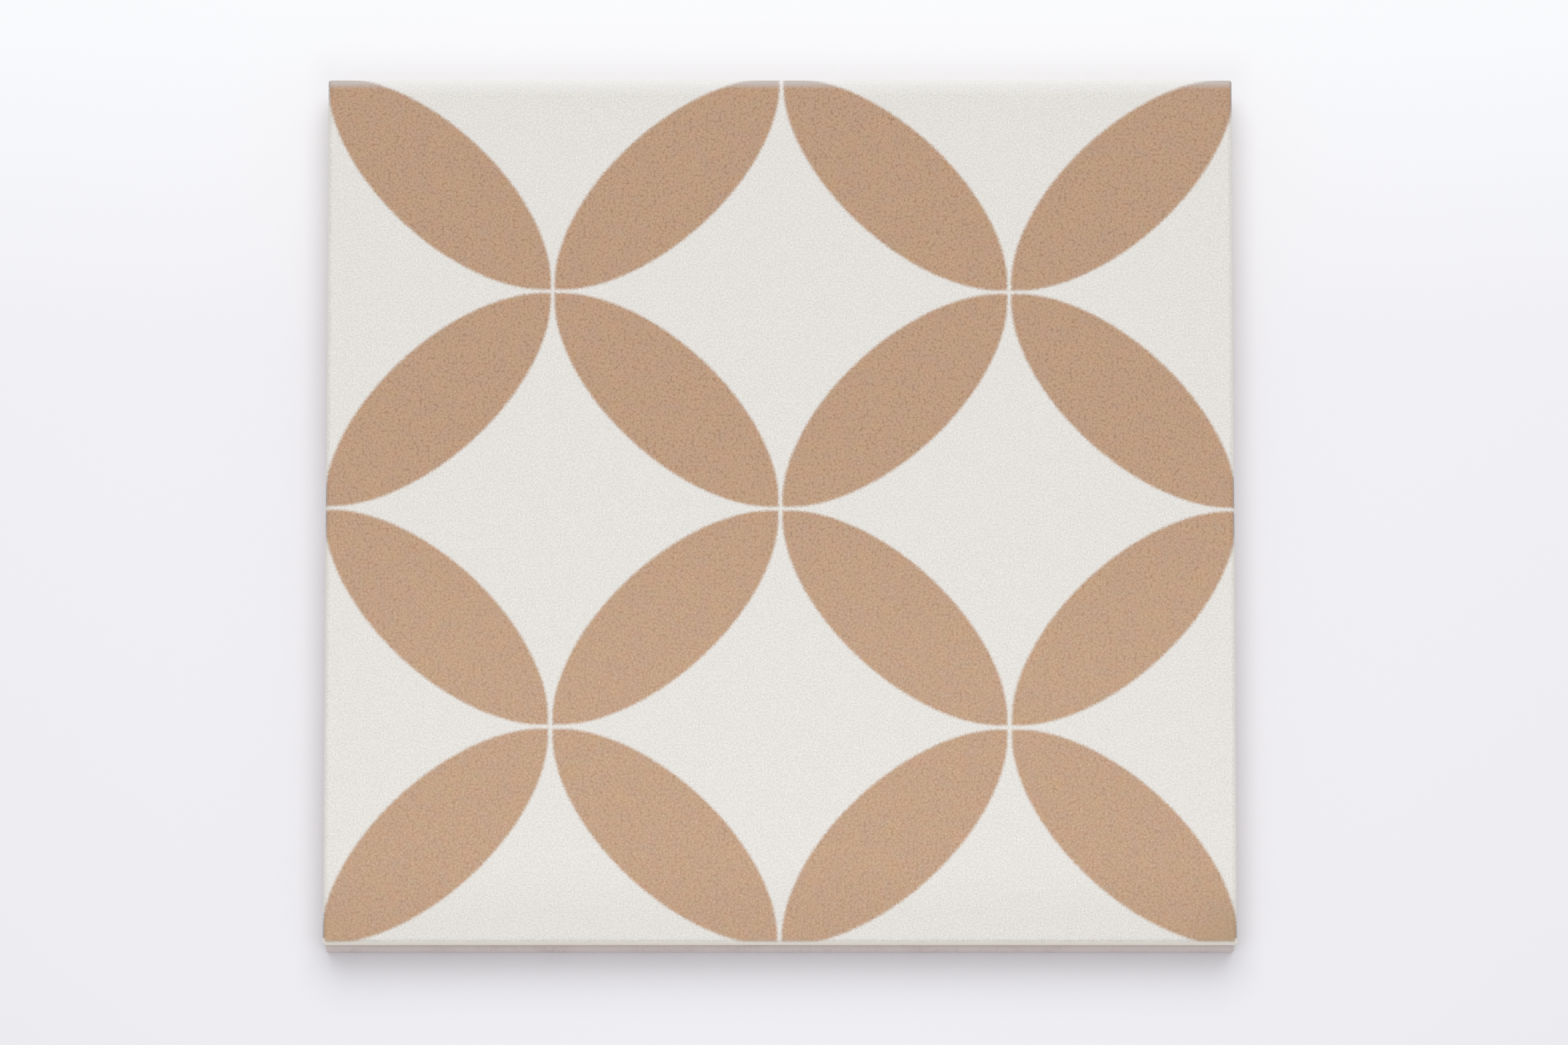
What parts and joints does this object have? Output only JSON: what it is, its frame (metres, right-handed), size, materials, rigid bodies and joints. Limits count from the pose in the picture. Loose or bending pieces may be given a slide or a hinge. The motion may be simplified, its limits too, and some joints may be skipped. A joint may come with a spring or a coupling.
{
  "type": "floor tile",
  "caption": "Square matt-glazed porcelain floor tile with a printed overlapping-circles pattern, rounded arrises and a keyed back for adhesive.",
  "frame": {"origin": "middle of the keyed back, on the plane of its ribs and rim, which is the plane that the tile lies on", "axes": "+Z out of the back and up through the walking face, square to it; +X and +Y along the sides, with the printed petals on the diagonals between them"},
  "size_m": [0.2, 0.2, 0.01],
  "materials": {
    "glazed_porcelain": "satin"
  },
  "bodies": {
    "root": {"tile": "glazed_porcelain"}
  },
  "joints": []
}
